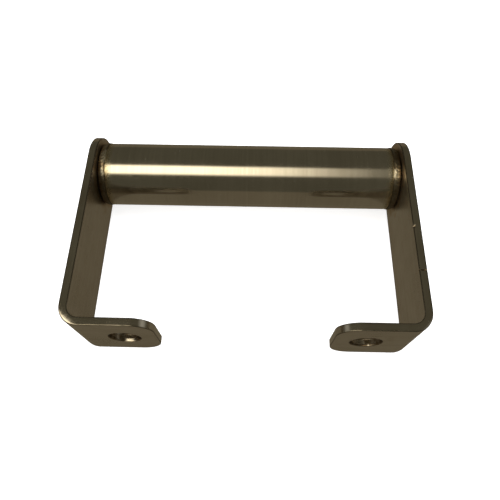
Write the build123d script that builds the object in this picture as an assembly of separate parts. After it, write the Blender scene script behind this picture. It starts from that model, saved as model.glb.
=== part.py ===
from build123d import *
import math
import os

os.makedirs("parts", exist_ok=True)

# ---------------------------------------------------------------------------
# Bow roller: a plain stainless tube roller carried between two bent flat-bar
# brackets.  Millimetres.  +X runs along the roller, +Y runs from the bolting
# feet out to the roller, +Z is up across the width of the flat bar.
# The origin is in the middle of the base: the flat bars stand on edge at z = 0.
# ---------------------------------------------------------------------------

# --- driving dimensions: brackets -------------------------------------------
overall_width = 170.0        # over the outer faces of the two arms
bar_width = 40.0             # flat bar, on edge
bar_thick = 4.0
reach = 93.5                 # outer face of the foot to the roller axis
bend_inner_radius = 5.5
foot_length = 43.0           # from the outer face of the arm to the foot's end
foot_corner_radius = 11.0
foot_hole_dia = 15.5         # clears an M14 bolt
foot_hole_offset = 27.0      # from the outer face of the arm
edge_round = 0.4             # deburred long edges of the bar
hole_deburr = 0.4

# --- driving dimensions: roller ---------------------------------------------
tube_od = 34.0
tube_wall = 3.0
end_gap = 0.32               # bush flange to the inner face of the arm
plug_recess = 0.05           # plug face behind the bush flange
weld_leg = 3.8               # fillet leg along the axis, plug rim to tube end
weld_bulge = 0.75            # how far the bead crowns over its chord
weld_face = 1.7              # bead faced off square to the axis, this far out from the plug rim
plug_length = 8.0
bush_od = 16.0
bush_flange_od = 20.0
bush_flange_thick = 1.2
bush_running_clearance = 0.05  # radial, on the axle
thrust_washer_thick = 0.22
thrust_washer_bore = 12.2

# --- driving dimensions: axle and its fasteners -----------------------------
axle_dia = 12.0
axle_chamfer = 0.4
screw_dia = 8.0              # M8 button head, hexagon socket
screw_length = 20.0
screw_head_dia = 14.0
screw_head_height = 4.4
socket_flats = 5.0
socket_depth = 2.6
tapped_depth = 19.0
clearance_hole_dia = 8.4
washer_od = 16.0
washer_thick = 1.6

# --- derived ----------------------------------------------------------------
half = overall_width / 2
arm_inner = half - bar_thick
total_y = reach + bar_width / 2
foot_face_y = -total_y / 2               # outer faces of the feet
axis_y = foot_face_y + reach             # roller axis
axis_z = bar_width / 2
tube_r = tube_od / 2
tube_ir = tube_r - tube_wall
flange_face = arm_inner - end_gap        # |x| of the bush flange's outer face
plug_face = flange_face - plug_recess
tube_end = plug_face - weld_leg
bend_outer_radius = bend_inner_radius + bar_thick


def along_x(radius, x0, x1, y=axis_y, z=axis_z):
    """Cylinder on an axis parallel to X, from x0 to x1."""
    length = abs(x1 - x0)
    return Pos((x0 + x1) / 2, y, z) * Rot(0, 90, 0) * Cylinder(radius, length)


def save(shape, name):
    shape.label = name
    export_step(shape, f"parts/{name}.step")


# --- right bracket: arm, bend, foot -----------------------------------------
yf = foot_face_y
ri, ro, t = bend_inner_radius, bend_outer_radius, bar_thick
xo, xi = half, arm_inner
s = math.sqrt(0.5)
# bend centre
bx, by = xo - ro, yf + ro
with BuildPart() as bracket_builder:
    with BuildSketch(Plane.XY):
        with BuildLine():
            Line((xo, axis_y + bar_width / 2), (xo, by))
            ThreePointArc((xo, by), (bx + ro * s, by - ro * s), (bx, yf))
            Line((bx, yf), (xo - foot_length, yf))
            Line((xo - foot_length, yf), (xo - foot_length, yf + t))
            Line((xo - foot_length, yf + t), (bx, yf + t))
            ThreePointArc((bx, yf + t), (bx + ri * s, by - ri * s), (xi, by))
            Line((xi, by), (xi, axis_y + bar_width / 2))
            Line((xi, axis_y + bar_width / 2), (xo, axis_y + bar_width / 2))
        make_face()
    extrude(amount=bar_width)
blank = bracket_builder.part

# the arm ends in a full half-round about the roller axis
tip_block = Pos(xo - t / 2, axis_y + bar_width / 2, axis_z) * Box(t + 2, bar_width, bar_width + 2)
tip_keep = along_x(bar_width / 2, xi - 2, xo + 2)
blank = blank - (tip_block - tip_keep)

# both outer corners of the foot are rounded
fr = foot_corner_radius
fx = xo - foot_length
for zc, z_edge in ((fr, 0.0), (bar_width - fr, bar_width)):
    corner = Pos(fx + fr / 2 - 1, yf + t / 2, (zc + z_edge) / 2 + (1 if z_edge else -1)) * Box(fr + 2, t + 2, fr + 2)
    keep = Pos(fx + fr, yf + t / 2, zc) * Rot(90, 0, 0) * Cylinder(fr, t + 4)
    blank = blank - (corner - keep)

# dressed long edges: every edge that outlines the two broad skins of the bar
outline_edges = []
for e in blank.edges():
    # skip edges that run through the thickness of the bar
    if e.geom_type == GeomType.LINE and abs(e.length - t) < 0.01:
        continue
    outline_edges.append(e)
blank = fillet(outline_edges, edge_round)

# holes: axle screw through the arm, bolt through the foot
blank = blank - along_x(clearance_hole_dia / 2, xi - 2, xo + 2)
foot_hole_x = xo - foot_hole_offset
foot_drill = Pos(foot_hole_x, yf + t / 2, axis_z) * Rot(90, 0, 0) * Cylinder(foot_hole_dia / 2, t + 4)
blank = blank - foot_drill
rim = [
    e
    for e in blank.edges().filter_by(GeomType.CIRCLE)
    if abs(e.radius - foot_hole_dia / 2) < 1e-3 and abs(e.arc_center.X - foot_hole_x) < 1e-3
]
blank = chamfer(rim, hole_deburr)
right_bracket = blank
left_bracket = mirror(right_bracket, about=Plane.YZ)
save(right_bracket, "right_bracket")
save(left_bracket, "left_bracket")

# --- roller tube ------------------------------------------------------------
roller_tube = along_x(tube_r, -tube_end, tube_end) - along_x(tube_ir, -tube_end - 1, tube_end + 1)
save(roller_tube, "roller_tube")

# --- end plugs: bored discs that stand out of the tube by the weld leg --------
flange_seat = bush_flange_thick - plug_recess
right_plug = (
    along_x(tube_ir, plug_face - plug_length, plug_face)
    - along_x(bush_od / 2, plug_face - plug_length - 1, plug_face + 1)
    - along_x(bush_flange_od / 2 + 0.1, plug_face - flange_seat, plug_face + 1)
)
save(right_plug, "right_end_plug")
save(mirror(right_plug, about=Plane.YZ), "left_end_plug")

# --- plug welds: crowned ring bead that fills the corner of tube end and plug rim
weld_drop = tube_wall - weld_face
mx, mr = tube_end + weld_leg / 2, tube_r - weld_drop / 2
chord = math.hypot(weld_leg, weld_drop)
nx, nr = weld_drop / chord, weld_leg / chord
with BuildPart() as bead_builder:
    # section drawn in the XY plane, measured out from the roller axis
    with BuildSketch(Plane((0, axis_y, axis_z), x_dir=(1, 0, 0), z_dir=(0, 0, 1))):
        with BuildLine():
            Line((tube_end, tube_ir), (tube_end, tube_r))
            ThreePointArc(
                (tube_end, tube_r),
                (mx + nx * weld_bulge, mr + nr * weld_bulge),
                (plug_face, tube_ir + weld_face),
            )
            Line((plug_face, tube_ir + weld_face), (plug_face, tube_ir))
            Line((plug_face, tube_ir), (tube_end, tube_ir))
        make_face()
    revolve(axis=Axis((0, axis_y, axis_z), (1, 0, 0)), revolution_arc=360)
right_weld = bead_builder.part
save(right_weld, "right_plug_weld")
save(mirror(right_weld, about=Plane.YZ), "left_plug_weld")

# --- flanged bushes pressed in the plugs ------------------------------------
bush_bore_r = axle_dia / 2 + bush_running_clearance
right_bush = (
    along_x(bush_od / 2, plug_face - plug_length + 0.5, flange_face)
    + along_x(bush_flange_od / 2, flange_face - bush_flange_thick, flange_face)
) - along_x(bush_bore_r, plug_face - plug_length - 1, flange_face + 1)
save(right_bush, "right_bush")
save(mirror(right_bush, about=Plane.YZ), "left_bush")

# --- thrust washers on the axle, against the arms ------------------------------
right_thrust = along_x(bush_flange_od / 2, arm_inner - thrust_washer_thick, arm_inner) - along_x(
    thrust_washer_bore / 2, arm_inner - thrust_washer_thick - 1, arm_inner + 1
)
save(right_thrust, "right_thrust_washer")
save(mirror(right_thrust, about=Plane.YZ), "left_thrust_washer")

# --- axle rod, clamped between the arms and tapped at both ends ---------------
axle = along_x(axle_dia / 2, -arm_inner, arm_inner)
axle = chamfer(axle.edges().filter_by(GeomType.CIRCLE), axle_chamfer)
for sign in (-1, 1):
    axle = axle - along_x(screw_dia / 2, sign * (arm_inner - tapped_depth), sign * (arm_inner + 1))
    tip = Pos(sign * (arm_inner - tapped_depth - 1.15), axis_y, axis_z) * Rot(0, sign * 90, 0) * Cone(
        0.01, screw_dia / 2, 2.3
    )
    axle = axle - tip
save(axle, "axle_rod")

# --- button-head socket screws and flat washers ----------------------------------
head_base = half + washer_thick
dome_r = (screw_head_dia / 2) ** 2 / (2 * screw_head_height) + screw_head_height / 2
with BuildPart() as screw_builder:
    with BuildSketch(Plane((0, axis_y, axis_z), x_dir=(1, 0, 0), z_dir=(0, 0, 1))):
        with BuildLine():
            x_tip = head_base - screw_length
            top_r = 3.4
            Line((x_tip, 0), (x_tip, screw_dia / 2 - 0.8))
            Line((x_tip, screw_dia / 2 - 0.8), (x_tip + 0.8, screw_dia / 2))
            Line((x_tip + 0.8, screw_dia / 2), (head_base, screw_dia / 2))
            Line((head_base, screw_dia / 2), (head_base, screw_head_dia / 2))
            Line((head_base, screw_head_dia / 2), (head_base + 0.5, screw_head_dia / 2))
            ThreePointArc(
                (head_base + 0.5, screw_head_dia / 2),
                (head_base + 2.95, 5.55),
                (head_base + screw_head_height, top_r),
            )
            Line((head_base + screw_head_height, top_r), (head_base + screw_head_height, 0))
            Line((head_base + screw_head_height, 0), (x_tip, 0))
        make_face()
    revolve(axis=Axis((0, axis_y, axis_z), (1, 0, 0)), revolution_arc=360)
screw = screw_builder.part
socket_plane = Plane((head_base + screw_head_height, axis_y, axis_z), x_dir=(0, 1, 0), z_dir=(1, 0, 0))
socket_tool = extrude(
    socket_plane * RegularPolygon(socket_flats / math.sqrt(3), 6), amount=-socket_depth
)
screw = screw - socket_tool
save(screw, "right_axle_screw")
save(mirror(screw, about=Plane.YZ), "left_axle_screw")

washer = along_x(washer_od / 2, half, head_base) - along_x(clearance_hole_dia / 2, half - 1, head_base + 1)
washer = chamfer(
    [
        e
        for e in washer.edges().filter_by(GeomType.CIRCLE)
        if abs(e.radius - washer_od / 2) < 1e-3 and e.arc_center.X > head_base - 0.1
    ],
    0.3,
)
save(washer, "right_screw_washer")
save(mirror(washer, about=Plane.YZ), "left_screw_washer")
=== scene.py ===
import math
import random

import bpy
import numpy as np
from mathutils import Matrix, Vector, geometry, noise


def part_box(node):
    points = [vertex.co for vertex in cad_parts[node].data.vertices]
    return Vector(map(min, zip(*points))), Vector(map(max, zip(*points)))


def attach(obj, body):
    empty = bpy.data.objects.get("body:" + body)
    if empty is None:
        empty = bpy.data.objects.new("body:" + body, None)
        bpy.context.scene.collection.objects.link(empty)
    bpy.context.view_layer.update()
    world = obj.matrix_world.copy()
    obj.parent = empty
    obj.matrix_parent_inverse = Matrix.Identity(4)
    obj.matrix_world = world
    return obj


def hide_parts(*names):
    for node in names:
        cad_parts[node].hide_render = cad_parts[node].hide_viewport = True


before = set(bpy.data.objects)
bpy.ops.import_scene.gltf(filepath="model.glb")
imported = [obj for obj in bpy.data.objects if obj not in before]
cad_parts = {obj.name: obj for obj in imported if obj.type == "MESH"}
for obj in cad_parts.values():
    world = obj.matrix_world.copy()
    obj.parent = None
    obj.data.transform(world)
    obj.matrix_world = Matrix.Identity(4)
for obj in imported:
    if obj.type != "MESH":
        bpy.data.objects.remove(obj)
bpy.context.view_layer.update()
random.seed(7)
MM = 0.001

# ---------------------------------------------------------------------------
# Sizes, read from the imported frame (millimetres below, metres in Blender)
# ---------------------------------------------------------------------------


def box_mm(node):
    lo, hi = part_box(node)
    return [c * 1000 for c in lo], [c * 1000 for c in hi]


br_lo, br_hi = box_mm("right_bracket")
tb_lo, tb_hi = box_mm("roller_tube")
wd_lo, wd_hi = box_mm("right_plug_weld")
sc_lo, sc_hi = box_mm("right_axle_screw")
wa_lo, wa_hi = box_mm("right_screw_washer")
pl_lo, pl_hi = box_mm("right_end_plug")

HALF = br_hi[0]  # outer face of an arm
BAR_W = br_hi[2] - br_lo[2]
BAR_T = wa_lo[0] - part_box("axle_rod")[1][0] * 1000  # arm thickness
FOOT_Y = br_lo[1]  # outer face of the feet
AXIS_Y = (tb_lo[1] + tb_hi[1]) / 2
AXIS_Z = (tb_lo[2] + tb_hi[2]) / 2
FOOT_LEN = HALF - br_lo[0]
TUBE_R = (tb_hi[1] - tb_lo[1]) / 2
TUBE_END = tb_hi[0]
PLUG_R = (pl_hi[1] - pl_lo[1]) / 2
PLUG_FACE = pl_hi[0]
R_IN = 5.5
R_OUT = R_IN + BAR_T
R_MID = R_IN + BAR_T / 2
CORNER = 11.0
FOOT_HOLE_R = 7.75
FOOT_HOLE_X = HALF - 27.0
ARM_HOLE_R = 4.2
BEAD_SAG = 0.75
WELD_FACE = 1.7

# ---------------------------------------------------------------------------
# Small node-graph helper
# ---------------------------------------------------------------------------


class G:
    def __init__(self, tree):
        self.t = tree
        self.n = tree.nodes
        self.n.clear()

    def add(self, kind, **props):
        node = self.n.new(kind)
        inputs = props.pop("inputs", {})
        for k, v in props.items():
            setattr(node, k, v)
        for k, v in inputs.items():
            self.put(node, k, v)
        return node

    def put(self, node, key, value):
        sock = node.inputs[key]
        if isinstance(value, bpy.types.NodeSocket):
            self.t.links.new(value, sock)
        else:
            sock.default_value = value

    def math(self, op, a, b=None, c=None, clamp=False):
        node = self.add("ShaderNodeMath", operation=op, use_clamp=clamp)
        for i, v in enumerate((a, b, c)):
            if v is not None:
                self.put(node, i, v)
        return node.outputs[0]

    def vmath(self, op, a, b=None):
        node = self.add("ShaderNodeVectorMath", operation=op)
        self.put(node, 0, a)
        if b is not None:
            self.put(node, 1, b)
        return node.outputs["Value"] if op in ("LENGTH", "DOT_PRODUCT", "DISTANCE") else node.outputs[0]

    def remap(self, v, a, b, c=0.0, d=1.0, smooth=False):
        node = self.add("ShaderNodeMapRange", interpolation_type="SMOOTHSTEP" if smooth else "LINEAR", clamp=True)
        self.put(node, "Value", v)
        node.inputs["From Min"].default_value = a
        node.inputs["From Max"].default_value = b
        node.inputs["To Min"].default_value = c
        node.inputs["To Max"].default_value = d
        return node.outputs[0]

    def ramp(self, v, stops, interp="LINEAR"):
        node = self.add("ShaderNodeValToRGB")
        r = node.color_ramp
        r.interpolation = interp
        while len(r.elements) > 1:
            r.elements.remove(r.elements[-1])
        for i, (p, col) in enumerate(stops):
            e = r.elements[0] if i == 0 else r.elements.new(p)
            e.position = p
            e.color = (*col, 1.0) if len(col) == 3 else col
        self.put(node, "Fac", v)
        return node.outputs["Color"]

    def mix(self, fac, a, b, mode="MIX"):
        node = self.add("ShaderNodeMix", data_type="RGBA", blend_type=mode)
        self.put(node, 0, fac)
        self.put(node, 6, a)
        self.put(node, 7, b)
        return node.outputs[2]

    def noise(self, vec, scale, detail=3.0, rough=0.55, distortion=0.0):
        node = self.add("ShaderNodeTexNoise", noise_dimensions="3D")
        self.put(node, "Vector", vec)
        node.inputs["Scale"].default_value = scale
        node.inputs["Detail"].default_value = detail
        node.inputs["Roughness"].default_value = rough
        node.inputs["Distortion"].default_value = distortion
        return node.outputs["Fac"]

    def mapping(self, vec, scale=(1, 1, 1), loc=(0, 0, 0), rot=(0, 0, 0)):
        node = self.add("ShaderNodeMapping")
        self.put(node, "Vector", vec)
        node.inputs["Scale"].default_value = scale
        node.inputs["Location"].default_value = loc
        node.inputs["Rotation"].default_value = rot
        return node.outputs[0]


def material(name):
    m = bpy.data.materials.new(name)
    m.use_nodes = True
    g = G(m.node_tree)
    out = g.add("ShaderNodeOutputMaterial")
    bsdf = g.add("ShaderNodeBsdfPrincipled")
    m.node_tree.links.new(bsdf.outputs[0], out.inputs["Surface"])
    return m, g, bsdf


def bumps(g, bsdf, layers):
    """Chain of Bump nodes: (height socket, strength, distance in metres)."""
    normal = None
    for height, strength, distance in layers:
        b = g.add("ShaderNodeBump")
        b.inputs["Strength"].default_value = strength
        b.inputs["Distance"].default_value = distance
        g.put(b, "Height", height)
        if normal is not None:
            g.put(b, "Normal", normal)
        normal = b.outputs[0]
    g.put(bsdf, "Normal", normal)


# ---------------------------------------------------------------------------
# Materials
# ---------------------------------------------------------------------------


def bar_material(name, rough, streak, tone, aniso, edge=False, bore=False):
    """Mill-finish stainless bar. UVs are in metres: U along the bar, V across it."""
    m, g, bsdf = material(name)
    uv = g.add("ShaderNodeUVMap", uv_map="bar").outputs[0]
    obj = g.add("ShaderNodeTexCoord").outputs["Object"]
    # lengthwise drawing lines: fine and coarse
    fine = g.noise(g.mapping(uv, (28, 5200, 1)), 1.0, 4.0, 0.65)
    coarse = g.noise(g.mapping(uv, (9, 900, 1), (3.1, 0.7, 0)), 1.0, 3.0, 0.6)
    cloud = g.noise(obj, 38.0, 4.0, 0.55)
    blotch = g.noise(obj, 140.0, 3.0, 0.6, 0.4)
    # sparse longer scratches at a few angles
    scratch = None
    for k, (rot, sc) in enumerate(((0.35, 1.0), (-0.6, 1.3), (1.25, 0.8))):
        v = g.mapping(uv, (34 * sc, 1500 * sc, 1), (k * 3.7, k * 1.9, 0), (0, 0, rot))
        n = g.noise(v, 1.0, 1.0, 0.5)
        line = g.remap(n, 0.735, 0.78, 0, 1)
        gate = g.remap(g.noise(g.mapping(obj, (1, 1, 1), (k * 2.3, 0, 0)), 55.0, 1.0, 0.5), 0.52, 0.62, 0, 1)
        line = g.math("MULTIPLY", line, gate)
        scratch = line if scratch is None else g.math("MAXIMUM", scratch, line)
    pits = g.remap(g.noise(obj, 2100.0, 1.0, 0.4), 0.76, 0.84, 0, 1)
    # colour: warm stainless with slight clouding and darker line bottoms
    light = [c * tone for c in (0.640, 0.605, 0.545)]
    dark = [c * tone for c in (0.500, 0.460, 0.395)]
    mixed = g.math("ADD", g.math("MULTIPLY", cloud, 0.55), g.math("MULTIPLY", coarse, 0.45))
    col = g.ramp(mixed, [(0.36, dark), (0.62, light)])
    col = g.mix(g.math("MULTIPLY", g.remap(blotch, 0.55, 0.8), 0.35), col, (0.43 * tone, 0.36 * tone, 0.27 * tone, 1))
    col = g.mix(g.math("MULTIPLY", scratch, 0.5), col, (0.74, 0.72, 0.68, 1))
    col = g.mix(g.math("MULTIPLY", pits, 0.6), col, (0.10, 0.08, 0.06, 1))
    if bore:
        # punched wall: painted shade, a dark colour over the wall of the hole and the bottoms of deep gouges, with bare
        # metal showing through in patches
        bore_shade = g.remap(g.noise(obj, 520.0, 3.0, 0.62, 0.4), 0.44, 0.66, 0.10, 0.58)
        col = g.mix(bore_shade, (0.150, 0.105, 0.056, 1), col)
    # painted shade and painted reflection of the bead: brown darkening on the arm's inner face round the roller end
    sobj = g.add("ShaderNodeSeparateXYZ")
    g.put(sobj, 0, obj)
    sy = g.math("SUBTRACT", sobj.outputs[1], AXIS_Y * MM)
    sz = g.math("SUBTRACT", sobj.outputs[2], AXIS_Z * MM)
    srad = g.math("SQRT", g.math("ADD", g.math("MULTIPLY", sy, sy), g.math("MULTIPLY", sz, sz)))
    shade_edge_wobble = g.math("MULTIPLY", g.math("SUBTRACT", g.noise(obj, 120.0, 3.0, 0.6, 0.6), 0.5), 0.014)
    painted_end_shade = g.remap(g.math("ADD", srad, shade_edge_wobble), 0.0225, 0.0165, smooth=True)
    painted_end_shade = g.math("MULTIPLY", painted_end_shade, g.remap(g.math("ABSOLUTE", sobj.outputs[0]), (HALF - BAR_T + 0.6) * MM, (HALF - BAR_T + 0.1) * MM))
    col = g.mix(g.math("MULTIPLY", painted_end_shade, 0.75), col, (0.46 * tone, 0.345 * tone, 0.205 * tone, 1))
    corner = None
    if edge:
        # painted shade: the rolled corners on both sides of the strip are painted darker, more on the arm than on the
        # foot, and are duller than its flat
        suv = g.add("ShaderNodeSeparateXYZ")
        g.put(suv, 0, uv)
        off = g.math("ABSOLUTE", g.math("SUBTRACT", suv.outputs[1], 0.1))
        corner = g.remap(off, (BAR_T / 2 - 0.62) * MM, (BAR_T / 2 - 0.34) * MM, smooth=True)
        on_arm = g.remap(sobj.outputs[1], (FOOT_Y + 8.0) * MM, (FOOT_Y + 14.0) * MM, 0.66, 0.88, smooth=True)
        col = g.mix(g.math("MULTIPLY", corner, on_arm), col, (0.125, 0.108, 0.076, 1))
    g.put(bsdf, "Base Color", col)
    bsdf.inputs["Metallic"].default_value = 1.0
    r = g.math("ADD", g.math("MULTIPLY", fine, streak), rough - streak / 2)
    r = g.math("ADD", r, g.math("MULTIPLY", painted_end_shade, 0.10))
    if edge:
        r = g.math("ADD", r, g.math("MULTIPLY", corner, 0.10))
    r = g.math("ADD", r, g.math("MULTIPLY", g.math("SUBTRACT", cloud, 0.5), 0.18))
    r = g.math("ADD", r, g.math("MULTIPLY", pits, 0.25))
    r = g.math("SUBTRACT", r, g.math("MULTIPLY", scratch, 0.08), clamp=True)
    g.put(bsdf, "Roughness", r)
    bsdf.inputs["Anisotropic"].default_value = aniso
    bsdf.inputs["Anisotropic Rotation"].default_value = 0.25
    tangent = g.add("ShaderNodeTangent", direction_type="UV_MAP", uv_map="bar")
    g.put(bsdf, "Tangent", tangent.outputs[0])
    layers = [
        (fine, 0.30, 0.00002),
        (coarse, 0.35, 0.00005),
        (g.math("SUBTRACT", 1.0, scratch), 0.5, 0.00003),
        (g.math("SUBTRACT", 1.0, pits), 0.5, 0.00004),
    ]
    if edge:
        chatter = g.noise(g.mapping(uv, (650, 160, 1)), 1.0, 2.0, 0.5)
        layers.append((chatter, 0.5, 0.00005))
    bumps(g, bsdf, layers)
    return m


MAT_SKIN = bar_material("bar_skin", rough=0.30, streak=0.14, tone=1.0, aniso=0.45)
MAT_EDGE = bar_material("bar_edge", rough=0.125, streak=0.07, tone=1.0, aniso=0.12, edge=True)
# toned darker than the skin: painted shade inside the holes and deep gouges
MAT_BORE = bar_material("bar_bore", rough=0.30, streak=0.14, tone=0.85, aniso=0.1, bore=True)
MAT_RIM = bar_material("bar_hole_rim", rough=0.24, streak=0.12, tone=0.9, aniso=0.1)


def tube_material():
    """Belt-polished tube: fine lines round it, heat tint towards the end welds."""
    m, g, bsdf = material("tube_polished")
    uv = g.add("ShaderNodeUVMap", uv_map="tube").outputs[0]  # U along X, V round, both in metres
    obj = g.add("ShaderNodeTexCoord").outputs["Object"]
    sep = g.add("ShaderNodeSeparateXYZ")
    g.put(sep, 0, obj)
    ax = g.math("ABSOLUTE", sep.outputs[0])
    fine = g.noise(g.mapping(uv, (5200, 26, 1)), 1.0, 4.0, 0.65)
    coarse = g.noise(g.mapping(uv, (1100, 8, 1), (1.7, 0.2, 0)), 1.0, 3.0, 0.6)
    cloud = g.noise(obj, 30.0, 4.0, 0.55)
    blotch = g.noise(obj, 190.0, 3.0, 0.6, 0.3)
    scratch = None
    for k, (rot, sc) in enumerate(((0.12, 1.0), (-0.2, 0.8), (1.45, 1.0))):
        v = g.mapping(uv, (1400 * sc, 40 * sc, 1), (k * 3.7, k * 1.9, 0), (0, 0, rot))
        n = g.noise(v, 1.0, 1.0, 0.5)
        line = g.remap(n, 0.745, 0.785, 0, 1)
        gate = g.remap(g.noise(g.mapping(obj, (1, 1, 1), (k * 2.3 + 9, 0, 0)), 60.0, 1.0, 0.5), 0.52, 0.62, 0, 1)
        line = g.math("MULTIPLY", line, gate)
        scratch = line if scratch is None else g.math("MAXIMUM", scratch, line)
    pits = g.remap(g.noise(obj, 1500.0, 1.0, 0.4), 0.78, 0.86, 0, 1)
    mixed = g.math("ADD", g.math("MULTIPLY", cloud, 0.6), g.math("MULTIPLY", coarse, 0.4))
    col = g.ramp(mixed, [(0.36, (0.545, 0.515, 0.455)), (0.62, (0.640, 0.612, 0.555))])
    # heat tint: distance from the weld toe, made uneven
    wob = g.math("MULTIPLY", g.math("SUBTRACT", g.noise(obj, 260.0, 2.0, 0.5), 0.5), 0.0028)
    heat = g.remap(g.math("ADD", ax, wob), (TUBE_END - 4.2) * MM, TUBE_END * MM)
    tint = g.ramp(
        heat,
        [
            (0.0, (1.0, 1.0, 1.0)),
            (0.35, (0.99, 0.97, 0.90)),
            (0.62, (0.93, 0.88, 0.74)),
            (0.80, (0.78, 0.69, 0.50)),
            (0.93, (0.56, 0.47, 0.33)),
            (1.0, (0.36, 0.29, 0.20)),
        ],
    )
    col = g.mix(1.0, col, tint, "MULTIPLY")
    col = g.mix(g.math("MULTIPLY", scratch, 0.4), col, (0.74, 0.72, 0.68, 1))
    col = g.mix(g.math("MULTIPLY", pits, 0.7), col, (0.08, 0.07, 0.05, 1))
    # weld smut and fine spatter in the last few millimetres
    near_toe = g.remap(ax, (TUBE_END - 7.0) * MM, (TUBE_END - 1.0) * MM, smooth=True)
    smut = g.remap(g.math("ADD", g.noise(obj, 620.0, 3.0, 0.62), g.math("MULTIPLY", near_toe, 0.13)), 0.69, 0.76)
    smut = g.math("MULTIPLY", smut, near_toe)
    col = g.mix(g.math("MULTIPLY", smut, 0.72), col, (0.155, 0.125, 0.066, 1))
    g.put(bsdf, "Base Color", col)
    bsdf.inputs["Metallic"].default_value = 1.0
    r = g.math("ADD", g.math("MULTIPLY", fine, 0.09), g.math("ADD", g.math("MULTIPLY", smut, 0.2), 0.105))
    r = g.math("ADD", r, g.math("MULTIPLY", g.math("SUBTRACT", cloud, 0.5), 0.10))
    r = g.math("ADD", r, g.math("MULTIPLY", heat, 0.16))
    r = g.math("ADD", r, g.math("MULTIPLY", g.remap(blotch, 0.6, 0.8), 0.05))
    r = g.math("ADD", r, g.math("MULTIPLY", pits, 0.3), clamp=True)
    g.put(bsdf, "Roughness", r)
    bsdf.inputs["Anisotropic"].default_value = 0.32
    bsdf.inputs["Anisotropic Rotation"].default_value = 0.0
    tangent = g.add("ShaderNodeTangent", direction_type="UV_MAP", uv_map="tube")
    g.put(bsdf, "Tangent", tangent.outputs[0])
    bumps(
        g,
        bsdf,
        [
            (fine, 0.22, 0.00001),
            (coarse, 0.25, 0.00002),
            (g.math("SUBTRACT", 1.0, scratch), 0.4, 0.00002),
            (g.math("SUBTRACT", 1.0, pits), 0.5, 0.00004),
        ],
    )
    return m


MAT_TUBE = tube_material()


def weld_material():
    m, g, bsdf = material("weld_bead")
    uv = g.add("ShaderNodeUVMap", uv_map="bead").outputs[0]  # V runs across the bead, 0 at the tube, 1 at the plug
    obj = g.add("ShaderNodeTexCoord").outputs["Object"]
    suv = g.add("ShaderNodeSeparateXYZ")
    g.put(suv, 0, uv)
    across = suv.outputs[1]
    grain = g.noise(obj, 900.0, 4.0, 0.6)
    patch = g.noise(obj, 250.0, 3.0, 0.6, 0.5)
    soot = g.noise(obj, 430.0, 3.0, 0.65)
    col = g.ramp(
        patch,
        [
            (0.30, (0.26, 0.200, 0.140)),
            (0.42, (0.42, 0.325, 0.215)),
            (0.50, (0.58, 0.500, 0.360)),
            (0.58, (0.66, 0.610, 0.500)),
            (0.70, (0.60, 0.570, 0.500)),
        ],
    )
    col = g.mix(g.remap(soot, 0.58, 0.76), col, (0.10, 0.075, 0.050, 1))
    # painted shade: the bead is painted dark along its toe, in the crease against the tube
    toe = g.remap(g.math("ADD", across, g.math("MULTIPLY", g.math("SUBTRACT", patch, 0.5), 0.20)), 0.17, 0.05)
    col = g.mix(g.math("MULTIPLY", toe, 0.85), col, (0.075, 0.055, 0.035, 1))
    rim = g.remap(g.math("ADD", across, g.math("MULTIPLY", g.math("SUBTRACT", soot, 0.5), 0.45)), 0.62, 0.92)
    col = g.mix(g.math("MULTIPLY", rim, 0.75), col, (0.24, 0.180, 0.110, 1))
    # painted highlight and painted shade round the ring, set by the angle about the roller axis and different at the
    # two ends: a light patch where the highlight falls, dark over the sectors in shade
    sobj = g.add("ShaderNodeSeparateXYZ")
    g.put(sobj, 0, obj)
    turn = g.math("ARCTAN2", g.math("SUBTRACT", sobj.outputs[2], AXIS_Z * MM), g.math("SUBTRACT", sobj.outputs[1], AXIS_Y * MM))
    turn = g.math("FRACT", g.math("ADD", g.math("DIVIDE", turn, 2 * math.pi), 1.0))
    turn = g.math("ADD", turn, g.math("MULTIPLY", g.math("SUBTRACT", patch, 0.5), 0.05))

    def round_ring(stops):
        return g.ramp(turn, [(a / 360, (v, v, v)) for a, v in stops])

    lit_round_right = round_ring([(0, 0.55), (45, 0.50), (58, 0.16), (99, 0.16), (105, 1.0), (121, 1.0), (128, 0.16), (212, 0.12), (235, 0.70), (300, 0.80), (335, 0.30), (360, 0.55)])
    lit_round_left = round_ring([(0, 0.40), (62, 0.45), (76, 1.0), (97, 1.0), (103, 0.62), (122, 0.55), (130, 0.14), (214, 0.12), (232, 0.60), (285, 0.85), (330, 0.45), (360, 0.40)])
    # clean below is the lit share round the ring: 1 gives the painted highlight, low values the painted shade
    clean = g.mix(g.math("GREATER_THAN", sobj.outputs[0], 0.0), lit_round_left, lit_round_right)
    painted_highlight = g.math("MULTIPLY", g.remap(clean, 0.82, 1.0), g.remap(across, 0.80, 0.50))
    col = g.mix(g.math("MULTIPLY", painted_highlight, 0.72), col, (0.68, 0.635, 0.53, 1))
    painted_round_shade = g.math("SUBTRACT", 1.0, clean)
    col = g.mix(g.math("MULTIPLY", painted_round_shade, 0.92), col, (0.085, 0.070, 0.046, 1))
    g.put(bsdf, "Base Color", col)
    bsdf.inputs["Metallic"].default_value = 1.0
    r = g.math("ADD", g.math("MULTIPLY", grain, 0.22), g.math("ADD", g.math("MULTIPLY", painted_round_shade, 0.16), 0.14))
    r = g.math("ADD", r, g.math("MULTIPLY", g.remap(soot, 0.56, 0.74), 0.22))
    r = g.math("ADD", r, g.math("MULTIPLY", toe, 0.2), clamp=True)
    g.put(bsdf, "Roughness", r)
    bumps(g, bsdf, [(grain, 0.4, 0.00005), (soot, 0.35, 0.00007)])
    return m


MAT_WELD = weld_material()


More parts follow.
